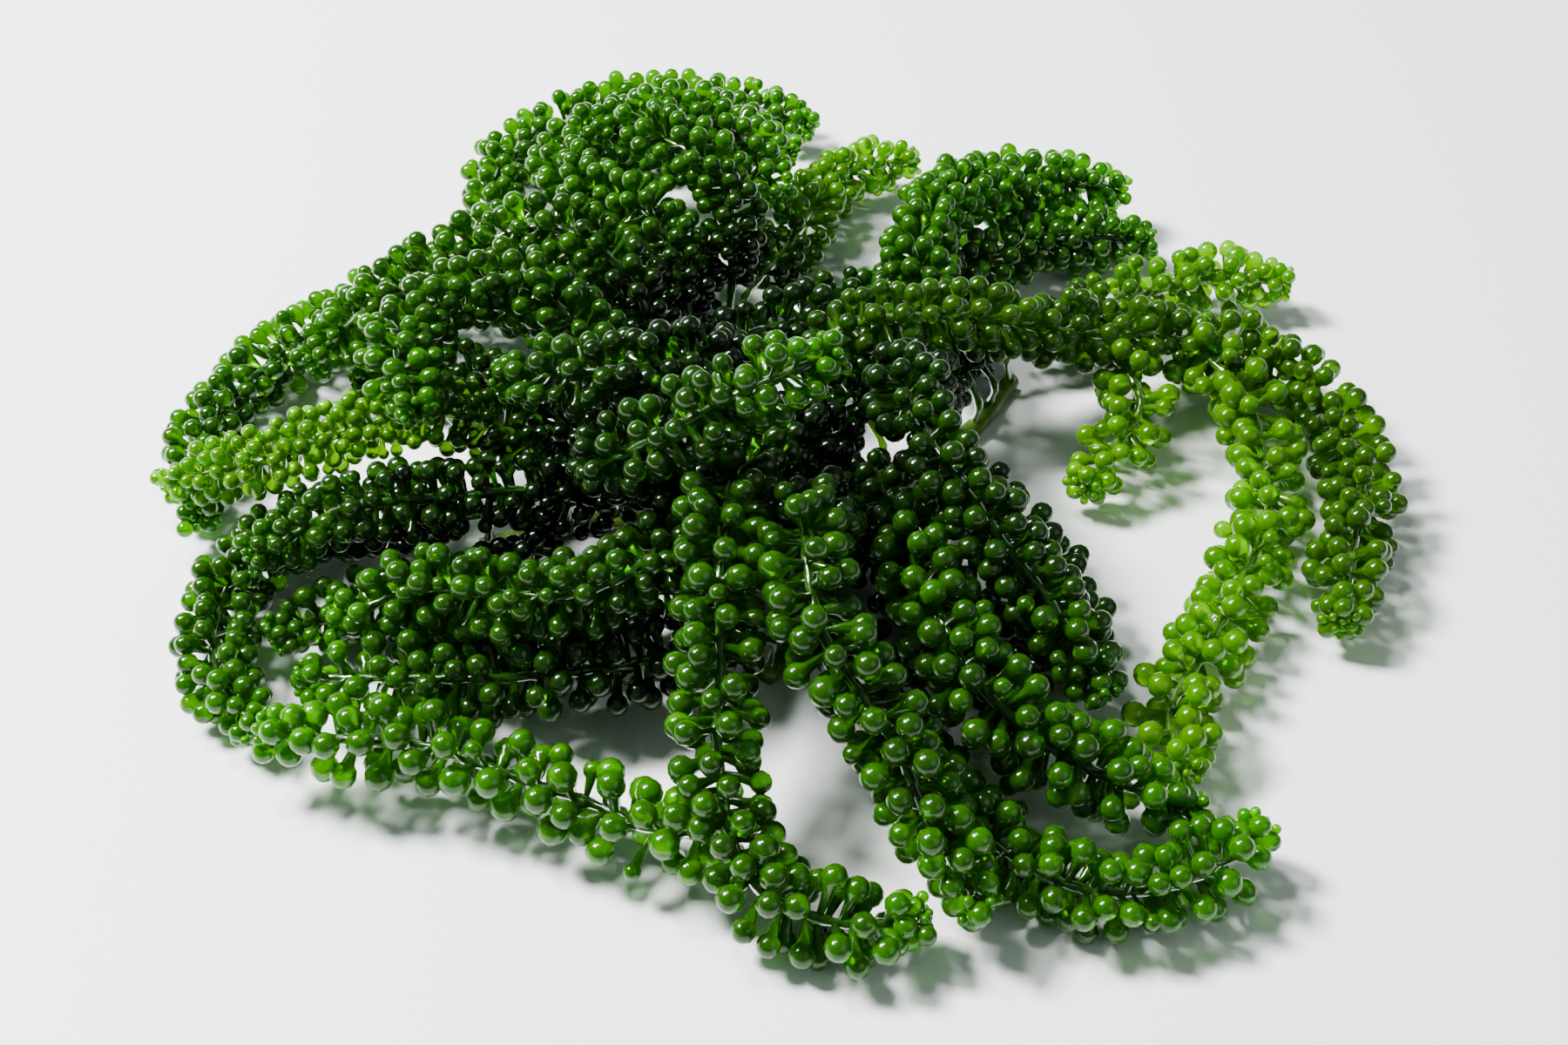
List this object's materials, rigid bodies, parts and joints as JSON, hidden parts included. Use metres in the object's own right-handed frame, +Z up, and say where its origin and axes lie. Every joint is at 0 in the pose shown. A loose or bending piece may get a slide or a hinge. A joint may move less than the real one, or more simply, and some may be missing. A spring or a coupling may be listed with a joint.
{
  "type": "sea grapes seaweed",
  "caption": "Clump of sea grapes seaweed: forking fronds covered in round glossy berries, growing from one creeping runner and lying heaped on a flat surface.",
  "frame": {"origin": "on the surface that the clump lies on, under the middle of the runner", "axes": "+Z up from that surface; +Y away from the picture's viewer; +X to the viewer's right"},
  "size_m": [0.1366, 0.1457, 0.0353],
  "materials": {
    "dark_frond": "wet, glossy, slightly see-through dark green skin",
    "bright_frond": "wet, glossy, slightly see-through yellow-green skin",
    "runner": "moist, smooth green stem"
  },
  "bodies": {
    "root": {"runner": "runner", "frond_right_arch": "bright_frond", "frond_front_left": "dark_frond", "frond_front_middle": "dark_frond", "frond_front_right": "dark_frond", "frond_front_low": "dark_frond", "frond_front_fill": "dark_frond", "frond_right_low": "dark_frond", "frond_right_high": "dark_frond", "frond_right_fill": "dark_frond", "frond_left_broad": "dark_frond", "frond_left_low": "dark_frond", "frond_left_edge": "dark_frond", "frond_left_under": "dark_frond", "frond_left_pale": "bright_frond", "frond_left_outer": "dark_frond", "frond_left_upper": "dark_frond", "frond_left_inner": "dark_frond", "frond_left_fill": "dark_frond", "frond_back_arc": "dark_frond", "frond_back_crown": "dark_frond", "frond_back_under": "dark_frond", "frond_back_short": "dark_frond", "frond_back_tip": "bright_frond", "frond_back_right": "dark_frond", "frond_back_right_inner": "dark_frond", "frond_back_right_low": "bright_frond", "frond_middle_tip": "dark_frond", "frond_middle_left": "dark_frond", "frond_middle_back": "dark_frond", "frond_middle_low": "dark_frond"}
  },
  "joints": []
}
